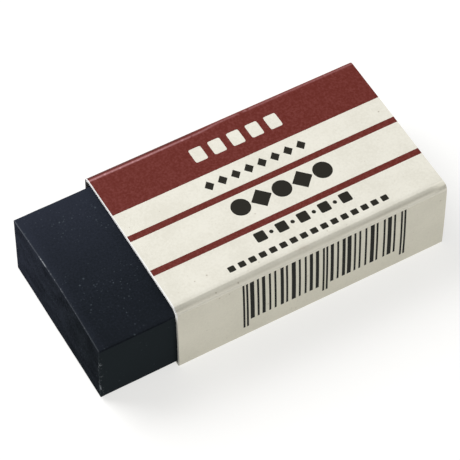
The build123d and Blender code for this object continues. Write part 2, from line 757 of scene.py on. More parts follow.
@dataclass(frozen=True)
class EraserCompound(Finish):
    """Near-black eraser plastic: matt, filmed with dust, with a painted sheen towards the rear and
    painted light on the front face, and pale crumbs along the cut edges.
    """

    low: Vector
    high: Vector
    end_bow: float
    specular: float = 0.0

    # The compound on each face, clean and filmed with dust with a painted sheen; the front face's paler
    # colour is painted light
    top_clean: Colour = (0.0112, 0.0138, 0.0177, 1.0)
    top_filmed: Colour = (0.0245, 0.0287, 0.0410, 1.0)
    end_clean: Colour = (0.0104, 0.0126, 0.0152, 1.0)
    end_filmed: Colour = (0.0212, 0.0243, 0.0345, 1.0)
    # Painted light: the front face has a paler copy of the compound, for the light that falls less on
    # it
    front: Colour = (0.0185, 0.0235, 0.0265, 1.0)
    top_depths: Pair = (0.3, 0.16)
    front_depths: Pair = (0.42, 0.24)
    grain: Grain = Grain(0.28, 2.0)
    grain_depth: float = 0.007

    # Scuffs on the cut end, drawn out across it
    streaks: Grain = Grain(1.5, 3.0)
    streak_stretch: Triple = (1.0, 0.55, 1.0)
    streak_share: float = 0.6
    scuff_tones: Pair = (0.35, 0.65)
    scuff_light: Pair = (0.66, 1.34)

    # The film of dust, with a painted sheen that grows towards the rear, and the specks in it
    film_clouds: Grain = Grain(5.0, 3.0)
    film_cloud_share: float = 0.35
    # Painted sheen: how the share grows towards the rear
    film_power: float = 1.6
    film_loss: float = 0.66
    film_edge_reach: Pair = (1.8, 0.3)
    film_edge_gain: float = 0.25
    film_roughness: Pair = (0.75, 0.85)
    dust: Colour = (0.062, 0.075, 0.089, 1.0)
    drifts: Grain = Grain(6.5, 2.0)
    drift_tones: Pair = (0.3, 0.6)
    fine_specks: Flecks = Flecks(0.42, 0.12, 0.7)
    specks: Flecks = Flecks(0.85, 0.16)
    lint: Flecks = Flecks(2.6, 0.2)
    side_dust: float = 0.55

    # Crumbs along the bare end's top edge, and nicks down its front edge
    crumb: Colour = (0.30, 0.32, 0.34, 1.0)
    faint_line: EdgeWearAndLight = EdgeWearAndLight(0.19, 1.7, 0.75)
    faint_span: Pair = (4.0, 11.0)
    faint_strength: Pair = (0.11, 0.24)
    bright_line: EdgeWearAndLight = EdgeWearAndLight(0.16, 0.4, 0.7)
    bright_middle: float = 3.85
    bright_reach: Pair = (1.05, 0.525)
    dotted_line: EdgeWearAndLight = EdgeWearAndLight(0.21, 0.4, 0.46, 0.4)
    nicked_line: EdgeWearAndLight = EdgeWearAndLight(0.62, 0.4, 0.455, 0.8)
    nicks_end: float = 0.3
    nicks_full: float = 7.0

    def wire(self, desk: NodeDesk, shader: bpy.types.Node) -> None:
        """Builds the nodes that feed the shader.

        Args:
            desk: the material's tree.
            shader: its Principled BSDF.
        """
        place = desk.place()
        _, across, up = desk.split(place)
        fine = self.grain.put(desk, place)
        film = self.film(desk, place, fine)
        end = desk.blend(film, self.end_clean, self.end_filmed)
        coats = (
            (desk.ramp(across, *(self.low.y + depth for depth in self.front_depths)), self.front),
            (
                desk.ramp(up, *(self.high.z - depth for depth in self.top_depths)),
                desk.blend(film, self.top_clean, self.top_filmed),
            ),
            (self.dust_mask(desk, place), self.dust),
            (self.crumb_mask(desk, place), self.crumb),
        )
        feeds = {
            "Base Color": desk.coat(desk.scaled(end, self.scuffs(desk, place, fine)), *coats),
            "Roughness": desk.grade(film, 0.0, 1.0, *self.film_roughness),
            "Specular IOR Level": self.specular,
            "Normal": desk.relief(fine, self.grain_depth),
        }
        desk.fill(shader, feeds)

    def scuffs(self, desk: NodeDesk, place: Socket, fine: Socket) -> Socket:
        """Measures how much lighter or darker the scuffs make the cut end.

        Args:
            desk: the material's tree.
            place: the place on the block.
            fine: the block's fine grain.

        Returns:
            The factor on the colour.
        """
        feeds = {0: place, 1: self.streak_stretch}
        drawn_out = desk.add("ShaderNodeVectorMath", feeds, operation="MULTIPLY").outputs["Vector"]
        streaks = desk.times(self.streaks.put(desk, drawn_out), self.streak_share)
        mixed = desk.plus(streaks, desk.times(fine, 1.0 - self.streak_share))
        return desk.grade(mixed, *self.scuff_tones, *self.scuff_light)

    def film(self, desk: NodeDesk, place: Socket, fine: Socket) -> Socket:
        """Measures the film of dust, thickest by the bare end's edge, together with a painted sheen
        that grows towards the rear.

        Args:
            desk: the material's tree.
            place: the place on the block.
            fine: the block's fine grain.

        Returns:
            The share of dust and painted sheen, from 0 to 1.
        """
        along, across, up = desk.split(place)
        clouds = desk.times(self.film_clouds.put(desk, place), self.film_cloud_share)
        rearward = desk.grade(across, self.low.y, self.high.y)
        # Painted sheen: the compound is lighter towards the rear
        painted_rear_sheen = desk.maths("POWER", rearward, self.film_power)
        near_end = desk.ramp(along, *(self.low.x + reach for reach in self.film_edge_reach))
        by_edge = desk.all_of(near_end, desk.above(up, self.high.z - self.top_depths[0]))
        gain = desk.times(by_edge, self.film_edge_gain)
        mottled = desk.minus(desk.plus(clouds, fine), self.film_loss)
        return desk.grade(desk.plus(painted_rear_sheen, mottled, gain), 0.0, 1.0)

    def dust_mask(self, desk: NodeDesk, place: Socket) -> Socket:
        """Finds the specks of dust, which lie in drifts.

        Args:
            desk: the material's tree.
            place: the place on the block.

        Returns:
            The mask's socket.
        """
        _, _, up = desk.split(place)
        drifts = desk.ramp(self.drifts.put(desk, place), *self.drift_tones)
        specks = desk.any_of(self.fine_specks.put(desk, place), self.specks.put(desk, place))
        dusted = desk.any_of(desk.all_of(specks, drifts), self.lint.put(desk, place))
        lying = desk.grade(up, self.high.z - self.top_depths[0], self.high.z, self.side_dust)
        return desk.all_of(dusted, lying)

    def crumb_mask(self, desk: NodeDesk, place: Socket) -> Socket:
        """Finds the crumbs along the bare end's hollow top edge and the nicks down its front edge.

        Args:
            desk: the material's tree.
            place: the place on the block.

        Returns:
            The mask's socket.
        """
        along, across, up = desk.split(place)
        turn = desk.times(desk.grade(across, self.low.y, self.high.y), pi)
        hollow = desk.times(desk.maths("SINE", turn), self.end_bow)
        top_edge = desk.distance(desk.minus(along, hollow), self.low.x, up, self.high.z)
        front_edge = desk.distance(along, self.low.x, across, self.low.y)
        rearward = desk.grade(across, *self.faint_span, *self.faint_strength)
        by_burr = desk.ramp(desk.away(across, self.bright_middle), *self.bright_reach)
        lower = desk.ramp(up, self.high.z - self.nicks_end, self.low.z + self.nicks_full)
        return desk.any_of(
            desk.all_of(self.faint_line.put(desk, place, distance=top_edge), rearward),
            desk.all_of(self.bright_line.put(desk, place, distance=top_edge), by_burr),
            self.dotted_line.put(desk, place, distance=top_edge),
            desk.all_of(self.nicked_line.put(desk, place, distance=front_edge), lower),
        )


@dataclass(frozen=True)
class PrintedCard(Finish):
    """The print side of the sleeve: cream card, a maroon band, two stripes, rows of marks and bars."""

    seam_edge: float
    rear_fold: Pair
    front_face: float
    top_from: float
    mouth: float
    end: float
    ridge: Pair
    valley: Pair
    crease: Pair
    specular: float = 0.1
    roughness: Pair = (0.62, 0.5)

    # The card, paler on top than in front where painted shade lies on the front panel, with fibres in
    # it
    cream: Colour = (0.822, 0.799, 0.707, 1.0)
    cream_shade: Colour = (0.753, 0.728, 0.635, 1.0)
    # Painted shade: a darker, yellower copy of the cream on the front panel and its fold
    handled: Colour = (0.798, 0.767, 0.645, 1.0)
    handled_shade: Colour = (0.750, 0.720, 0.604, 1.0)
    handled_depth: float = 1.2
    fibre: Colour = (0.30, 0.24, 0.17, 1.0)
    fibres: Flecks = Flecks(1.5, 0.16, 0.55)
    faint_fibres: Flecks = Flecks(0.8, 0.14, 0.15)
    grain: Grain = Grain(0.3, 3.0)
    grain_depth: float = 0.006
    clouds: Grain = Grain(4.0, 3.0)
    cloud_share: float = 0.5
    card_tones: Pair = (0.35, 0.65)

    # The inks
    maroon: Colour = (0.134, 0.0215, 0.0155, 1.0)
    maroon_light: Colour = (0.179, 0.0400, 0.0335, 1.0)
    maroon_tones: Pair = (0.35, 0.75)
    maroon_specks: Flecks = Flecks(0.7, 0.16, 0.9)
    maroon_chips: Flecks = Flecks(2.0, 0.15, 0.3)
    # Pale worn ink, also laid as a painted highlight along the rear fold
    worn_ink: Colour = (0.86, 0.47, 0.49, 1.0)
    # Painted shade on the rear fold where it turns from the light
    shaded_ink: Colour = (0.050, 0.012, 0.012, 1.0)
    black: Colour = (0.022, 0.0205, 0.0155, 1.0)
    # Painted shade: a darker copy of the black for the bars on the front panel, offsetting the sheen
    # there
    bar_black: Colour = (0.0045, 0.0050, 0.0030, 1.0)

    # The print
    band_edge: float = 5.13
    stripes: tuple[Pair, ...] = ((0.205, 1.21), (-6.02, -5.02))
    band_rows: tuple[MarkRow, ...] = (
        MarkRow(MarkShape.BLOCK, -1.7, 2.95, 5.0, 8.6, 0.95, 1.2),
    )
    black_rows: tuple[MarkRow, ...] = (
        MarkRow(MarkShape.DIAMOND, -2.6, 2.05, 8.0, 3.2, 0.75, 0.85),
        MarkRow(MarkShape.DISC, -2.9, 6.4, 3.0, -1.9, 1.4, 1.4),
        MarkRow(MarkShape.DIAMOND, 0.3, 6.4, 2.0, -1.9, 1.6, 1.6),
        MarkRow(MarkShape.BLOCK, -1.5, 3.3, 5.0, -7.3, 0.8, 0.8),
        MarkRow(MarkShape.DISC, 0.15, 3.3, 4.0, -7.3, 0.3, 0.3),
        MarkRow(MarkShape.BLOCK, -6.6, 1.58, 16.0, -9.95, 0.5, 0.45),
    )
    bars: BarField = BarField(
        start=-5.65,
        module=0.2683,
        count=95.2,
        top=11.8,
        foot=3.55,
        long_foot=2.15,
        slant=0.032,
        chance=43.0,
    )

    # Painted light and wear on the front fold: painted shade with grime in its creases, painted shade
    # with a smear, and a painted highlight on its ridge with a cracked print face
    grime: Colour = (0.27, 0.245, 0.20, 1.0)
    deep_grime: EdgeWearAndLight = EdgeWearAndLight(0.36, 4.0, 0.8, 0.19)
    shallow_grime: EdgeWearAndLight = EdgeWearAndLight(0.24, 2.4, 0.62, 0.08)
    upper_grime: EdgeWearAndLight = EdgeWearAndLight(0.26, 2.4, 0.62, 0.1)
    mouth_reach: float = 4.0
    end_reach: Pair = (17.0, 12.0)
    # Painted shade along the upper crease near the mouth, with a smear
    smear: Colour = (0.42, 0.30, 0.19, 1.0)
    smear_line: EdgeWearAndLight = EdgeWearAndLight(0.5, 1.5, 0.6, 0.22)
    smear_middle: float = 3.7
    smear_reach: Pair = (1.8, 0.3)
    # Painted highlight on the front fold's ridge, where the print face is also cracked
    cracked: Colour = (0.985, 0.950, 0.820, 1.0)
    cracked_line: EdgeWearAndLight = EdgeWearAndLight(0.36, 1.6, 0.88)

    # Wear and painted light on the rear fold, drifting outwards along the sleeve: rubbed ink with a
    # painted highlight, and painted shade where the fold turns from the light; and card bared at the
    # mouth, partly a painted highlight that widens the cut edge
    # Rubbed ink with a painted highlight along the rear fold
    rubbed_lines: tuple[EdgeWearAndLight, ...] = (EdgeWearAndLight(0.28, 0.9, 0.72, 0.6), EdgeWearAndLight(0.28, 0.45, 0.5))
    rubbed_span: Pair = (8.0, 21.0)
    rubbed_strength: Pair = (0.6, 0.23)
    run_out: float = 0.29
    run_out_span: Pair = (16.5, 21.0)
    # Painted shade on the strip of the rear fold that turns from the light
    turned_depths: Pair = (0.2, 0.5)
    turned_span: Pair = (20.0, 14.0)
    turned_strength: float = 0.6
    # Card bared at the mouth, partly a painted highlight that widens the cut edge
    bare: Colour = (0.95, 0.95, 0.94, 1.0)
    margin: float = 0.07
    margin_heights: Pair = (10.0, 12.0)

    def wire(self, desk: NodeDesk, shader: bpy.types.Node) -> None:
        """Builds the nodes that feed the shader.

        Args:
            desk: the material's tree.
            shader: its Principled BSDF.
        """
        place = desk.place()
        along, _, up = desk.split(place)
        fine = self.grain.put(desk, place)
        ink = self.ink_masks(desk, place)
        grime, smear, cracked = self.front_fold_wear(desk, place)
        turned, rubbed_and_highlit = self.rear_fold_wear(desk, place)
        at_mouth = desk.below(along, self.mouth + self.margin)
        # Among these coats, painted light: shade with grime in the front fold's creases, shade with a
        # smear, a highlight on its ridge, shade and a highlight on the rear fold, the bars' darker
        # black, and a highlight along the mouth's cut edge
        coats = (
            (grime, self.grime),
            (smear, self.smear),
            (cracked, self.cracked),
            (ink["maroon"], self.maroon_colour(desk, place, fine)),
            (turned, self.shaded_ink),
            (rubbed_and_highlit, self.worn_ink),
            (ink["black"], self.black),
            (ink["bars"], self.bar_black),
            # card bared at the mouth, partly a painted highlight on the cut edge
            (desk.all_of(at_mouth, desk.ramp(up, *self.margin_heights)), self.bare),
        )
        feeds = {
            "Base Color": desk.coat(self.card_colour(desk, place, fine), *coats),
            "Roughness": desk.grade(desk.any_of(*ink.values()), 0.0, 1.0, *self.roughness),
            "Specular IOR Level": self.specular,
            "Normal": desk.relief(fine, self.grain_depth),
        }
        desk.fill(shader, feeds)

    def front_fold_wear(self, desk: NodeDesk, place: Socket) -> tuple[Socket, Socket, Socket]:
        """Finds where the front fold has painted shade, a painted highlight and wear.

        Args:
            desk: the material's tree.
            place: the place on the piece.

        Returns:
            The masks of painted shade with grime in its creases, of painted shade with a smear, and of
            the painted highlight with cracks on its ridge.
        """
        along, across, up = desk.split(place)
        lines = (self.valley, self.crease, self.ridge)
        valley, crease, ridge = (desk.distance(across, line[0], up, line[1]) for line in lines)
        near_mouth = desk.ramp(along, self.mouth + self.mouth_reach, self.mouth)
        near_end = desk.ramp(along, *(self.end - reach for reach in self.end_reach))
        deep = self.deep_grime.put(desk, place, distance=valley)
        grime = desk.any_of(
            desk.all_of(deep, desk.any_of(near_mouth, near_end)),
            self.shallow_grime.put(desk, place, distance=valley),
            desk.without(self.upper_grime.put(desk, place, distance=crease), near_end),
        )
        beside = desk.ramp(desk.away(along, self.smear_middle), *self.smear_reach)
        smear = desk.all_of(self.smear_line.put(desk, place, distance=crease), beside)
        return grime, smear, self.cracked_line.put(desk, place, distance=ridge)

    def rear_fold_wear(self, desk: NodeDesk, place: Socket) -> tuple[Socket, Socket]:
        """Finds where the rear fold is worn and where light and shade are painted on it.

        Args:
            desk: the material's tree.
            place: the place on the piece.

        Returns:
            The masks of painted shade on the ink that is turned from the light and of the rubbed ink
            with its painted highlight.
        """
        along, across, up = desk.split(place)
        from_mouth = desk.minus(along, self.mouth)
        run_out = desk.times(desk.ramp(from_mouth, *self.run_out_span), self.run_out)
        fold = desk.distance(desk.minus(across, run_out), self.rear_fold[0], up, self.rear_fold[1])
        rubbed_and_highlit = desk.any_of(*(line.put(desk, place, distance=fold) for line in self.rubbed_lines))
        strength = desk.grade(from_mouth, *self.rubbed_span, *self.rubbed_strength)
        behind = desk.ramp(across, *(self.rear_fold[0] + depth for depth in self.turned_depths))
        near_mouth = desk.ramp(from_mouth, *self.turned_span)
        turned = desk.all_of(behind, near_mouth, desk.above(up, self.top_from))
        return desk.times(turned, self.turned_strength), desk.all_of(rubbed_and_highlit, strength)

    def card_colour(self, desk: NodeDesk, place: Socket, fine: Socket) -> Socket:
        """Colours the unprinted card.

        Args:
            desk: the material's tree.
            place: the place on the piece.
            fine: the card's fine grain.

        Returns:
            The colour's socket.
        """
        _, across, _ = desk.split(place)
        clouds = desk.times(self.clouds.put(desk, place), self.cloud_share)
        mixed = desk.plus(clouds, desk.times(fine, 1.0 - self.cloud_share))
        tone = desk.ramp(mixed, *self.card_tones)
        in_front = desk.ramp(across, self.front_face + self.handled_depth, self.front_face)
        fibres = desk.any_of(self.fibres.put(desk, place), self.faint_fibres.put(desk, place))
        return desk.coat(
            desk.blend(tone, self.cream_shade, self.cream),
            (in_front, desk.blend(tone, self.handled_shade, self.handled)),
            (fibres, self.fibre),
        )

    def maroon_colour(self, desk: NodeDesk, place: Socket, fine: Socket) -> Socket:
        """Colours the maroon ink.

        Args:
            desk: the material's tree.
            place: the place on the piece.
            fine: the card's fine grain, which shows through the ink.

        Returns:
            The colour's socket.
        """
        specks = self.maroon_specks.put(desk, place)
        tone = desk.any_of(desk.ramp(fine, *self.maroon_tones), specks)
        ink = desk.blend(tone, self.maroon, self.maroon_light)
        return desk.blend(self.maroon_chips.put(desk, place), ink, self.worn_ink)

    def ink_masks(self, desk: NodeDesk, place: Socket) -> dict[str, Socket]:
        """Finds where each ink lies.

        Args:
            desk: the material's tree.
            place: the place on the piece.

        Returns:
            The masks of the maroon ink, of the black marks and of the bars, by name.
        """
        _, across, up = desk.split(place)
        on_top = desk.above(up, self.top_from)
        bare_marks = desk.any_of(*(row.put(desk, place) for row in self.band_rows))
        band = desk.all_of(desk.above(across, self.band_edge), desk.above(up, self.seam_edge))
        band = desk.without(band, desk.all_of(bare_marks, on_top))
        stripes = desk.any_of(*(desk.between(across, low, high) for low, high in self.stripes))
        rows = desk.any_of(*(row.put(desk, place) for row in self.black_rows))
        on_front = desk.below(across, self.front_face)
        return {
            "maroon": desk.any_of(band, desk.all_of(stripes, on_top)),
            "black": desk.all_of(rows, on_top),
            "bars": desk.all_of(self.bars.put(desk, place), on_front),
        }


@dataclass(frozen=True)
class BareCard(Finish):
    """Unprinted card inside the sleeve or at its cut edges, with painted shade low down that is darkest
    at the rear.
    """

    pale: Colour
    shade: Colour
    # Painted shade low down
    soiled: Colour
    clean_from: float
    rear_from: float
    roughness: float
    # Painted shade at the rear
    dark: Colour = (0.020, 0.020, 0.022, 1.0)
    soiled_reach: float = 2.5
    dark_reach: float = 0.3
    grain: Grain = Grain(0.25, 3.0)
    grain_depth: float = 0.01
    grain_tones: Pair = (0.4, 0.8)
    specks: Flecks = Flecks(1.2, 0.15)
    specular: float = 0.1

    def wire(self, desk: NodeDesk, shader: bpy.types.Node) -> None:
        """Builds the nodes that feed the shader.

        Args:
            desk: the material's tree.
            shader: its Principled BSDF.
        """
        place = desk.place()
        _, across, up = desk.split(place)
        fine = self.grain.put(desk, place)
        tone = desk.any_of(desk.ramp(fine, *self.grain_tones), self.specks.put(desk, place))
        # Painted shade: darker low down, and darkest at the rear
        low = desk.ramp(up, self.clean_from, self.clean_from - self.soiled_reach)
        lower = desk.ramp(up, self.clean_from + self.dark_reach, self.clean_from)
        at_rear = desk.all_of(desk.above(across, self.rear_from), lower)
        card = desk.blend(tone, self.pale, self.shade)
        feeds = {
            "Base Color": desk.coat(card, (low, self.soiled), (at_rear, self.dark)),
            "Roughness": self.roughness,
            "Specular IOR Level": self.specular,
            "Normal": desk.relief(fine, self.grain_depth),
        }
        desk.fill(shader, feeds)


@dataclass(frozen=True)
class StudioFloor(Finish):
    """A plain pale floor, faintly lit from below."""

    pale: Colour = (0.38, 0.38, 0.38, 1.0)
    roughness: float = 0.9
    specular: float = 0.0
    glow: float = 0.68
    glow_tint: Colour = (1.0, 0.995, 0.975, 1.0)

    def wire(self, desk: NodeDesk, shader: bpy.types.Node) -> None:
        """Builds the nodes that feed the shader.

        Args:
            desk: the material's tree.
            shader: its Principled BSDF.
        """
        feeds = {
            "Base Color": self.pale,
            "Roughness": self.roughness,
            "Specular IOR Level": self.specular,
            "Emission Color": self.glow_tint,
            "Emission Strength": self.glow,
        }
        desk.fill(shader, feeds)


@dataclass
class EraserBlock:
    """The block: cut from a strip, with soft long edges and crisp, slightly nicked ends."""

    node: str = "eraser_block"
    cover: str = "card_sleeve"
    long_edge_radius: float = 0.2
    long_edge_flats: int = 3
    end_edge_break: float = 0.1
    end_edge_flats: int = 2
    cell: float = 0.42
    smooth_angle: float = 40.0
    unevenness: float = 0.05
    unevenness_size: float = 3.5
    squeeze: float = 0.12
    squeeze_reach: float = 2.5
    squeeze_run: float = 1.5
    end_bow: float = 0.26
    end_bow_reach: float = 5.0
    nick_depth: float = 0.16
    nick_reach: float = 0.7
    nick_size: float = 0.5
    burr_height: float = 0.07
    burr_reach: float = 0.3
    burr_rate: float = 0.4
    burr_row: float = 5.0
    burr_cover: float = 0.5
    burr_contrast: float = 1.5

    def __post_init__(self) -> None:
        """Finds the block's place in the frame, and the mouth of the sleeve that covers it."""
        self.low, self.high = box_in_mm(self.node)
        self.mouth = box_in_mm(self.cover)[0].x

    def build(self) -> bpy.types.Object:
        """Builds, dresses and installs the block.

        Returns:
            The finished object.
        """
        piece = Workpiece("rubber_block", Start.BLOCK, self.low, self.high)
        self.break_edges(piece)
        self.divide(piece)
        self.mark_wear(piece)
        piece.dress(EraserCompound("eraser_compound", self.low, self.high, self.end_bow).make())
        piece.settle(self.smooth_angle)
        return piece.install(self.node)

    def break_edges(self, piece: Workpiece) -> None:
        """Rounds the long edges and breaks the edges of the cut ends.

        Args:
            piece: the block under work.
        """

        def on_an_end(first: Vector, second: Vector) -> bool:
            """Whether an edge lies in one of the cut ends."""
            far = [max(abs(first.x - end), abs(second.x - end)) for end in (self.low.x, self.high.x)]
            return min(far) < self.end_edge_break / 2

        def along(first: Vector, second: Vector) -> bool:
            """Whether an edge runs along the block."""
            return abs(first.x - second.x) > self.cell

        piece.round_edges(along, self.long_edge_radius, self.long_edge_flats)
        piece.round_edges(on_an_end, self.end_edge_break, self.end_edge_flats)
        piece.turn_outwards()

    def divide(self, piece: Workpiece) -> None:
        """Divides the faces into small cells.

        Args:
            piece: the block under work.
        """
        for axis in Axis:
            span = self.high[axis] - self.low[axis]
            cuts = round(span / self.cell) - 1
            piece.cut_edges(lambda a, b, axis=axis, span=span: abs(a[axis] - b[axis]) > span / 2, cuts)

    def mark_wear(self, piece: Workpiece) -> None:
        """Makes the faces uneven and the bare end's edges hollow, nicked and burred.

        Args:
            piece: the block under work.
        """
        piece.press(Push.OUT, self.unevenness, lambda place: 1.0, self.unevenness_size)
        piece.press(Push.ACROSS, self.squeeze, self.squeezed)
        piece.press(Push.ALONG, self.end_bow, self.bowed)
        piece.press(Push.OUT, -self.nick_depth, self.nicked, self.nick_size)
        piece.press(Push.UP, self.burr_height, self.burred)

    def squeezed(self, place: Vector) -> float:
        """Marks the upper front edge under the sleeve, where the card grips the block."""
        away = hypot(place.y - self.low.y, place.z - self.high.z)
        return bump(away, self.squeeze_reach) * smooth((place.x - self.mouth) / self.squeeze_run + 1.0)

    def bowed(self, place: Vector) -> float:
        """Marks the bare end's top edge, which the cut left hollow between its two corners.

        Args:
            place: the place on the block.

        Returns:
            The share of the hollow's depth.
        """
        across = hold((place.y - self.low.y) / (self.high.y - self.low.y))
        under = smooth(1.0 - (self.high.z - place.z) / self.end_bow_reach)
        behind = smooth(1.0 - (place.x - self.low.x) / self.end_bow_reach)
        return sin(pi * across) * under * behind

    def nicked(self, place: Vector) -> float:
        """Marks the bare end's front edge."""
        return bump(hypot(place.x - self.low.x, place.y - self.low.y), self.nick_reach)

    def burred(self, place: Vector) -> float:
        """Marks the bare end's top edge, in broken stretches.

        Args:
            place: the place on the block.

        Returns:
            The share of the burr's height.
        """
        edge = self.low.x + self.end_bow * self.bowed(place)
        away = hypot(place.x - edge, place.z - self.high.z)
        chance = noise.noise(Vector((0.0, place.y * self.burr_rate, self.burr_row)))
        return bump(away, self.burr_reach) * smooth(self.burr_cover + self.burr_contrast * chance)


@dataclass(frozen=True)
class FoldLine:
    """A raised or sunk line on the band behind the front fold."""

    height: float
    from_fold: float
    reach: float

    def share(self, away: float) -> float:
        """The share of the height at a distance from the fold."""
        return bump(away - self.from_fold, self.reach)


@dataclass
class CardSleeve:
    """The sleeve: one sheet of card, folded round the block and glued up the rear side."""

    node: str = "card_sleeve"

    # The sheet and its folds
    card: float = 0.4
    fold_height: float = 12.15
    crease_inset: float = 1.63
    seam_edge: float = 0.6
    flap_edge: float = 11.15
    flap_end_angle: float = 12.0
    glue: float = 0.02
    bottom_fold_radius: float = 0.5
    front_fold_radius: float = 0.25
    crease_radius: float = 0.8
    rear_fold_radius: float = 0.8
    band_slope: float = 20.0
    fold_flats: tuple[int, ...] = (4, 4, 5, 4, 6)
    smooth_angle: float = 35.0

    # New points across each panel, and the length of a column
    bottom_cuts: int = 11
    top_cuts: int = 47
    front_cuts: int = 17
    flap_cuts: int = 7
    rear_cuts: int = 11
    band_cuts: int = 11
    column: float = 0.5

    # Lines and creases of the front fold
    ridge: FoldLine = FoldLine(0.03, 0.28, 0.3)
    ridge_rate: float = 0.35
    ridge_row: float = 1.0
    ridge_level: float = 0.7
    ridge_contrast: float = 0.6
    valley: FoldLine = FoldLine(-0.035, 0.62, 0.38)
    valley_least: float = 0.3
    upper_crease: FoldLine = FoldLine(-0.018, 1.2, 0.35)
    shoulder: FoldLine = FoldLine(0.12, 1.25, 0.49)
    hard_length: float = 18.0
    hard_fade: float = 5.0
    crush: float = 0.1
    crush_reach: float = 3.0
    crush_width: float = 1.3
    corner: float = 0.37
    corner_reach: float = 3.5
    corner_from_fold: float = 0.6
    corner_rise: float = 0.9
    corner_fall: float = 1.15
    corner_fall_power: float = 1.6

    # The lie of the panels
    crown: float = 0.06
    crown_least: float = 0.3
    lean: float = 0.36
    lean_power: int = 2
    drop: float = 0.15
    drop_power: int = 6
    skew: float = 0.3
    skew_least: float = 0.3
    foot_skew: float = 0.18
    foot_spread: float = 0.18
    foot_reach: float = 3.0
    rear_lean: float = 0.12
    rear_lean_reach: float = 2.0
    rear_press: float = 0.18
    rear_press_reach: float = 1.1
    rear_press_run: float = 0.7
    ripple: float = 0.04
    ripple_size: float = 7.0

    # Where the print face has wear and painted light, across and up from the front fold or from the
    # rear corner
    worn_ridge: Pair = (0.43, -0.1)
    worn_valley: Pair = (0.86, 0.12)
    worn_crease: Pair = (1.24, 0.37)
    worn_rear: Pair = (-1.03, -0.02)

    # How far behind the front face its print reaches, and how far below the top the cut edge is free of
    # painted shade
    front_print_depth: float = 0.6
    clean_depth: float = 0.6

    def __post_init__(self) -> None:
        """Finds the sleeve's place in the frame."""
        self.low, self.high = box_in_mm(self.node)
        self.length = self.high.x - self.low.x
        self.flap_face = self.high.y - self.card - self.glue
        self.crease_line = self.low.y + self.crease_inset

    def build(self) -> bpy.types.Object:
        """Builds, dresses and installs the sleeve.

        Returns:
            The finished object.
        """
        piece = self.fold_sheet()
        self.round_folds(piece)
        self.divide(piece)
        self.shape(piece)
        self.dress(piece)
        self.thicken(piece)
        piece.settle(self.smooth_angle)
        return piece.install(self.node)

    def fold_sheet(self) -> Workpiece:
        """Folds the sheet up from its bottom panel, with sharp folds.

        Returns:
            The sheet's printed face, as a piece under work.
        """
        bottom_high = Vector((self.high.x, self.flap_face, self.low.z))
        piece = Workpiece("printed_sleeve", Start.SHEET, self.low, bottom_high)
        piece.pick_edges(lambda a, b: max(a.y, b.y) < self.low.y + self.card)
        piece.fold_out(
            Vector((0, 0, self.fold_height)),
            Vector((0, self.crease_inset, self.high.z - self.fold_height)),
            Vector((0, self.high.y - self.crease_line, 0)),
            Vector((0, 0, self.seam_edge - self.high.z)),
        )
        rear = self.flap_face - self.card
        piece.pick_edges(lambda a, b: min(a.y, b.y) > rear and max(a.z, b.z) < self.card)
        piece.fold_out(Vector((0, 0, self.flap_edge)))
        setback = (self.flap_edge - self.seam_edge) * tan(radians(self.flap_end_angle))
        piece.shorten(1.0 - 2.0 * setback / self.length)
        piece.flip()
        return piece

    def round_folds(self, piece: Workpiece) -> None:
        """Rounds each fold to its own radius.

        Args:
            piece: the sleeve under work.
        """
        folds = (
            (self.flap_face, self.low.z, self.bottom_fold_radius, RIGHT_ANGLE),
            (self.low.y, self.low.z, self.bottom_fold_radius, RIGHT_ANGLE),
            (self.low.y, self.fold_height, self.front_fold_radius, RIGHT_ANGLE - self.band_slope),
            (self.crease_line, self.high.z, self.crease_radius, self.band_slope),
            (self.high.y, self.high.z, self.rear_fold_radius, RIGHT_ANGLE),
        )
        for (across, up, radius, turn), flats in zip(folds, self.fold_flats):
            piece.round_edges(self.on_line(across, up), radius * tan(radians(turn) / 2), flats)

    def on_line(self, across: float, up: float) -> EdgeTest:
        """Makes a test for the edges that lie on a line along the sleeve."""
        reach = self.card / 4
        return lambda *ends: all(hypot(end.y - across, end.z - up) < reach for end in ends)

    def divide(self, piece: Workpiece) -> None:
        """Divides the panels into rows, and the whole sheet into columns.

        Args:
            piece: the sleeve under work.
        """
        wide = self.high.y
        tall = self.high.z / 2
        margin = self.card / 2
        thin = self.card / 4
        band = self.low.y - margin, self.crease_line + margin
        panels = (
            (self.bottom_cuts, Axis.ACROSS, wide, Axis.UP, self.low.z - margin, self.low.z + margin),
            (self.top_cuts, Axis.ACROSS, wide, Axis.UP, self.high.z - margin, self.high.z + margin),
            (self.front_cuts, Axis.UP, tall, Axis.ACROSS, self.low.y - margin, self.low.y + margin),
            (self.flap_cuts, Axis.UP, tall, Axis.ACROSS, self.flap_face - thin, self.flap_face + thin),
            (self.rear_cuts, Axis.UP, tall, Axis.ACROSS, self.high.y - thin, self.high.y + thin),
            (self.band_cuts, Axis.ACROSS, self.card, Axis.ACROSS, *band),
        )
        for cuts, *panel in panels:
            piece.cut_edges(self.on_panel(*panel), cuts)
        columns = round(self.length / self.column) - 1
        piece.cut_edges(lambda a, b: abs(a.x - b.x) > self.length / 2, columns)

    def on_panel(self, axis: Axis, shortest: float, at: Axis, low: float, high: float) -> EdgeTest:
        """Makes a test for the end edges of one panel.

        Args:
            axis: the axis along which the edge runs.
            shortest: the least length of the edge.
            at: the axis on which the panel is found.
            low: the least place on that axis.
            high: the greatest place on that axis.

        Returns:
            The test.
        """
        return lambda a, b: (
            abs(a[axis] - b[axis]) > shortest
            and abs(a.x - b.x) < self.card
            and low < a[at] < high
            and low < b[at] < high
        )

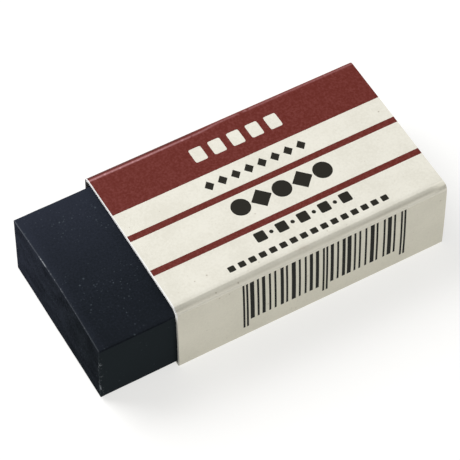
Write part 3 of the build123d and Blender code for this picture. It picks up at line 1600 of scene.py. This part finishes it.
    def shape(self, piece: Workpiece) -> None:
        """Gives the panels and folds the unevenness of folded card.

        Args:
            piece: the sleeve under work.
        """
        presses = (
            (Push.UP, self.shoulder.height, self.shouldered),
            (Push.UP, self.corner, self.cornered),
            (Push.UP, self.ridge.height, self.ridged),
            (Push.UP, self.valley.height, self.dented),
            (Push.UP, self.upper_crease.height, self.upper_creased),
            (Push.ACROSS, self.crush, self.crushed),
            (Push.UP, -self.crush, self.crushed),
            (Push.UP, self.crown, self.crowned),
            (Push.ACROSS, self.lean, self.leaning),
            (Push.UP, -self.drop, self.dropping),
            (Push.ALONG, -self.skew, self.skewed),
            (Push.ALONG, self.foot_skew, self.foot_skewed),
            (Push.ACROSS, -self.foot_spread, self.spreading),
            (Push.ACROSS, -self.rear_lean, self.rear_leaning),
            (Push.UP, -self.rear_press, self.rear_pressed),
        )
        for push, depth, share in presses:
            piece.press(push, depth, share)
        piece.press(Push.OUT, self.ripple, self.outer, self.ripple_size)

    def from_mouth(self, place: Vector) -> float:
        """Falls from 1 at the mouth towards 0 along the sleeve."""
        return bell(place.x - self.low.x, self.crush_reach)

    def towards_end(self, place: Vector) -> float:
        """Grows from 0 at the mouth to 1 at the far end."""
        return smooth((place.x - self.low.x) / self.length)

    def forward(self, place: Vector) -> float:
        """Grows from 0 at the rear side to 1 at the front."""
        return hold((self.high.y - place.y) / (self.high.y - self.low.y))

    def risen(self, place: Vector) -> float:
        """Grows from 0 at the bottom to 1 at the height of the front fold."""
        return hold(place.z / self.fold_height)

    def before_crease(self, place: Vector) -> float:
        """Falls from 1 at the front panel to 0 at the crease behind the band."""
        return hold((self.crease_line - place.y) / self.crease_inset)

    def from_fold(self, place: Vector) -> float:
        """How far a place lies from the front fold's sharp line."""
        return hypot(place.y - self.low.y, place.z - self.fold_height)

    def on_band(self, place: Vector) -> bool:
        """Whether a place lies on the sloping band behind the front fold."""
        return place.z > self.fold_height and place.y < self.crease_line + self.card

    def hard_creased(self, place: Vector) -> float:
        """Marks the stretches where the front fold is creased hard: by the mouth and by the far end."""
        by_end = smooth((place.x - self.high.x + self.hard_length) / self.hard_fade)
        return max(self.from_mouth(place), by_end)

    def shouldered(self, place: Vector) -> float:
        """Marks the band below the crease, where the top panel bends over later than the band's slope.

        Args:
            place: the place on the sleeve.

        Returns:
            The share of the shoulder's height.
        """
        past = self.from_fold(place) - self.shoulder.from_fold
        reach = self.shoulder.reach if past > 0.0 else self.shoulder.from_fold
        return self.on_band(place) * bump(past, reach)

    def cornered(self, place: Vector) -> float:
        """Marks the band at its far end, where the top panel runs on almost to the front fold.

        Args:
            place: the place on the sleeve.

        Returns:
            The share of the corner's height.
        """
        away = self.from_fold(place) if self.on_band(place) else -self.from_fold(place)
        past = away - self.corner_from_fold
        rise = bump(past, self.corner_rise)
        if past > 0.0:
            rise = max(1.0 - past / self.corner_fall, 0.0) ** self.corner_fall_power
        return rise * smooth((place.x - self.high.x + self.corner_reach) / self.corner_reach) ** 2

    def ridged(self, place: Vector) -> float:
        """Marks the front fold's own line.

        Args:
            place: the place on the sleeve.

        Returns:
            The share of the ridge's height.
        """
        chance = noise.noise(Vector((place.x * self.ridge_rate, self.ridge_row, 0.0)))
        uneven = self.ridge_level + self.ridge_contrast * chance
        return self.on_band(place) * self.ridge.share(self.from_fold(place)) * uneven

    def dented(self, place: Vector) -> float:
        """Marks the crease just behind the front fold."""
        line = self.on_band(place) * self.valley.share(self.from_fold(place))
        return line * lift(self.valley_least, self.hard_creased(place))

    def upper_creased(self, place: Vector) -> float:
        """Marks the second crease, where the band meets the top panel, between the hard creases."""
        line = self.on_band(place) * self.upper_crease.share(self.from_fold(place))
        return line * (1.0 - self.hard_creased(place))

    def crushed(self, place: Vector) -> float:
        """Marks the front fold at the mouth."""
        return bell(self.from_fold(place), self.crush_width) * self.from_mouth(place)

    def crowned(self, place: Vector) -> float:
        """Rises in the middle of the top panel, most of all at the mouth.

        Args:
            place: the place on the sleeve.

        Returns:
            The share of the crown's height.
        """
        on_top = place.z >= self.high.z - self.rear_fold_radius
        across = hold((place.y - self.crease_line) / (self.high.y - self.crease_line))
        return on_top * sin(pi * across) * lift(self.crown_least, self.from_mouth(place))

    def leaning(self, place: Vector) -> float:
        """Grows towards the top of the front panel, and fades out over the band."""
        return self.risen(place) ** self.lean_power * self.before_crease(place)

    def dropping(self, place: Vector) -> float:
        """Marks the front fold, and fades out down the front panel and over the band."""
        return self.risen(place) ** self.drop_power * self.before_crease(place)

    def skewed(self, place: Vector) -> float:
        """Marks the front fold, which lies askew, most of all at the far end."""
        raised = self.forward(place) * place.z / self.high.z
        return raised * lift(self.skew_least, self.towards_end(place))

    def foot_skewed(self, place: Vector) -> float:
        """Marks the foot of the front panel at the mouth."""
        return self.forward(place) * (1.0 - place.z / self.high.z) * (1.0 - self.towards_end(place))

    def spreading(self, place: Vector) -> float:
        """Marks the foot of the front panel, growing towards the far end."""
        in_front = bump(place.y - self.low.y, self.foot_reach)
        return (1.0 - self.risen(place)) * in_front * self.towards_end(place)

    def rear_leaning(self, place: Vector) -> float:
        """Marks the rear fold above the flap, growing towards the far end."""
        rise = hold((place.z - self.flap_edge) / (self.high.z - self.flap_edge))
        return rise * bump(place.y - self.high.y, self.rear_lean_reach) * self.towards_end(place)

    def rear_pressed(self, place: Vector) -> float:
        """Marks the rear fold, fading along the sleeve.

        Args:
            place: the place on the sleeve.

        Returns:
            The share of the press's depth.
        """
        away = hypot(place.y - self.high.y, place.z - self.high.z)
        run = (place.x - self.low.x) / (self.rear_press_run * self.length)
        return bump(away, self.rear_press_reach) * (1.0 - smooth(run))

    def outer(self, place: Vector) -> float:
        """Marks the panels that show, away from the glued seam and the bottom panel."""
        return float(place.y <= self.flap_face - self.card and place.z >= self.bottom_fold_radius)

    def beside_fold(self, offset: Pair) -> Pair:
        """The place of a line that runs along the front fold at an offset from it."""
        return self.low.y + offset[0], self.fold_height + offset[1]

    def dress(self, piece: Workpiece) -> None:
        """Gives the sheet its print side, its inside and its cut edges.

        Args:
            piece: the sleeve under work.
        """
        printed = PrintedCard(
            "printed_card",
            seam_edge=self.seam_edge - self.card / 4,
            rear_fold=(self.high.y + self.worn_rear[0], self.high.z + self.worn_rear[1]),
            front_face=self.low.y + self.front_print_depth,
            top_from=self.fold_height,
            mouth=self.low.x,
            end=self.high.x,
            ridge=self.beside_fold(self.worn_ridge),
            valley=self.beside_fold(self.worn_valley),
            crease=self.beside_fold(self.worn_crease),
        )
        # The inside is the card's grey back, darkened as painted shade inside the sleeve
        inside = BareCard(
            "card_inside",
            pale=(0.40, 0.385, 0.35, 1.0),
            shade=(0.32, 0.305, 0.275, 1.0),
            soiled=(0.32, 0.305, 0.275, 1.0),
            clean_from=self.low.z,
            rear_from=self.high.y,
            roughness=0.85,
        )
        # The cut edge takes painted shade low down and at the rear
        cut_edge = BareCard(
            "card_cut_edge",
            pale=(0.95, 0.945, 0.925, 1.0),
            shade=(0.88, 0.87, 0.84, 1.0),
            soiled=(0.62, 0.61, 0.55, 1.0),
            clean_from=self.high.z - self.clean_depth,
            rear_from=self.flap_face,
            roughness=0.9,
        )
        piece.dress(printed.make(), inside.make(), cut_edge.make())

    def thicken(self, piece: Workpiece) -> None:
        """Gives the sheet the card's thickness, inwards from its printed face.

        Args:
            piece: the sleeve under work, with its finishes in the order that dress gives them.
        """
        modifier = piece.body.modifiers.new("card", "SOLIDIFY")
        modifier.thickness = self.card
        modifier.offset = -1.0
        modifier.use_even_offset = True
        modifier.use_quality_normals = True
        modifier.material_offset = 1
        modifier.material_offset_rim = 2
        piece.apply(modifier)


@dataclass(frozen=True)
class Softbox:
    """A soft light that faces the object, with its sizes in metres."""

    name: str
    toward: Triple
    distance: float
    side: float
    power: float

    def hang(self, aim: Vector) -> None:
        """Hangs the light.

        Args:
            aim: the point that it faces, in metres.
        """
        data = bpy.data.lights.new(self.name, "AREA")
        data.shape = "SQUARE"
        data.size = self.side
        data.energy = self.power
        light = bpy.data.objects.new(self.name, data)
        bpy.context.scene.collection.objects.link(light)
        away = Vector(self.toward).normalized()
        light.location = aim + away * self.distance
        light.rotation_mode = "QUATERNION"
        light.rotation_quaternion = away.to_track_quat("Z", "Y")


@dataclass
class Studio:
    """The floor, the lights and the camera."""

    floor_side: float = 6.0
    sky: float = 0.28
    sky_tint: Colour = (1.0, 1.0, 1.0, 1.0)
    lights: tuple[Softbox, ...] = (
        Softbox("key", (-0.38, 0.62, 0.69), 0.7, 0.5, 5.95),
        Softbox("front_fill", (0.55, -0.7, 0.5), 0.9, 0.8, 0.85),
    )
    camera_place: Triple = (-92.488, -146.616, 245.131)
    heading: float = -32.23
    tilt: float = 35.88
    roll: float = 2.39
    lens: float = 169.9

    def build(self) -> None:
        """Builds the studio round the object."""
        self.lay_floor()
        self.light()
        self.set_camera()
        bpy.context.scene.view_settings.view_transform = "Standard"

    def lay_floor(self) -> None:
        """Lays the floor at the frame's ground level."""
        bpy.ops.object.select_all(action="DESELECT")
        bpy.ops.mesh.primitive_plane_add(size=self.floor_side, location=(0.0, 0.0, 0.0))
        floor = bpy.context.active_object
        floor.name = "floor"
        floor.data.materials.append(StudioFloor("pale_floor").make())

    def light(self) -> None:
        """Hangs the lights and sets the room's own light."""
        aim = Vector((0.0, 0.0, 0.0))
        for softbox in self.lights:
            softbox.hang(aim)
        world = bpy.data.worlds.new("room")
        world.use_nodes = True
        feeds = {"Color": self.sky_tint, "Strength": self.sky}
        NodeDesk(world.node_tree).fill(world.node_tree.nodes["Background"], feeds)
        bpy.context.scene.world = world

    def set_camera(self) -> None:
        """Sets the camera at the photograph's angle."""
        data = bpy.data.cameras.new("camera")
        data.lens = self.lens
        camera = bpy.data.objects.new("camera", data)
        bpy.context.scene.collection.objects.link(camera)
        pose = Matrix.Translation(Vector(self.camera_place) * MM)
        for angle, axis in ((self.heading, "Z"), (self.tilt, "X"), (self.roll, "Z")):
            pose = pose @ Matrix.Rotation(radians(angle), 4, axis)
        camera.matrix_world = pose
        bpy.context.scene.camera = camera


def main() -> None:
    """Builds the pieces in order, then the studio round them."""
    logging.basicConfig(level=logging.INFO, format="%(message)s")
    for part in (EraserBlock(), CardSleeve()):
        piece = part.build()
        log.info("%s in place of %s: %d faces", piece.name, part.node, len(piece.data.polygons))
    Studio().build()


if __name__ == "__main__":
    main()
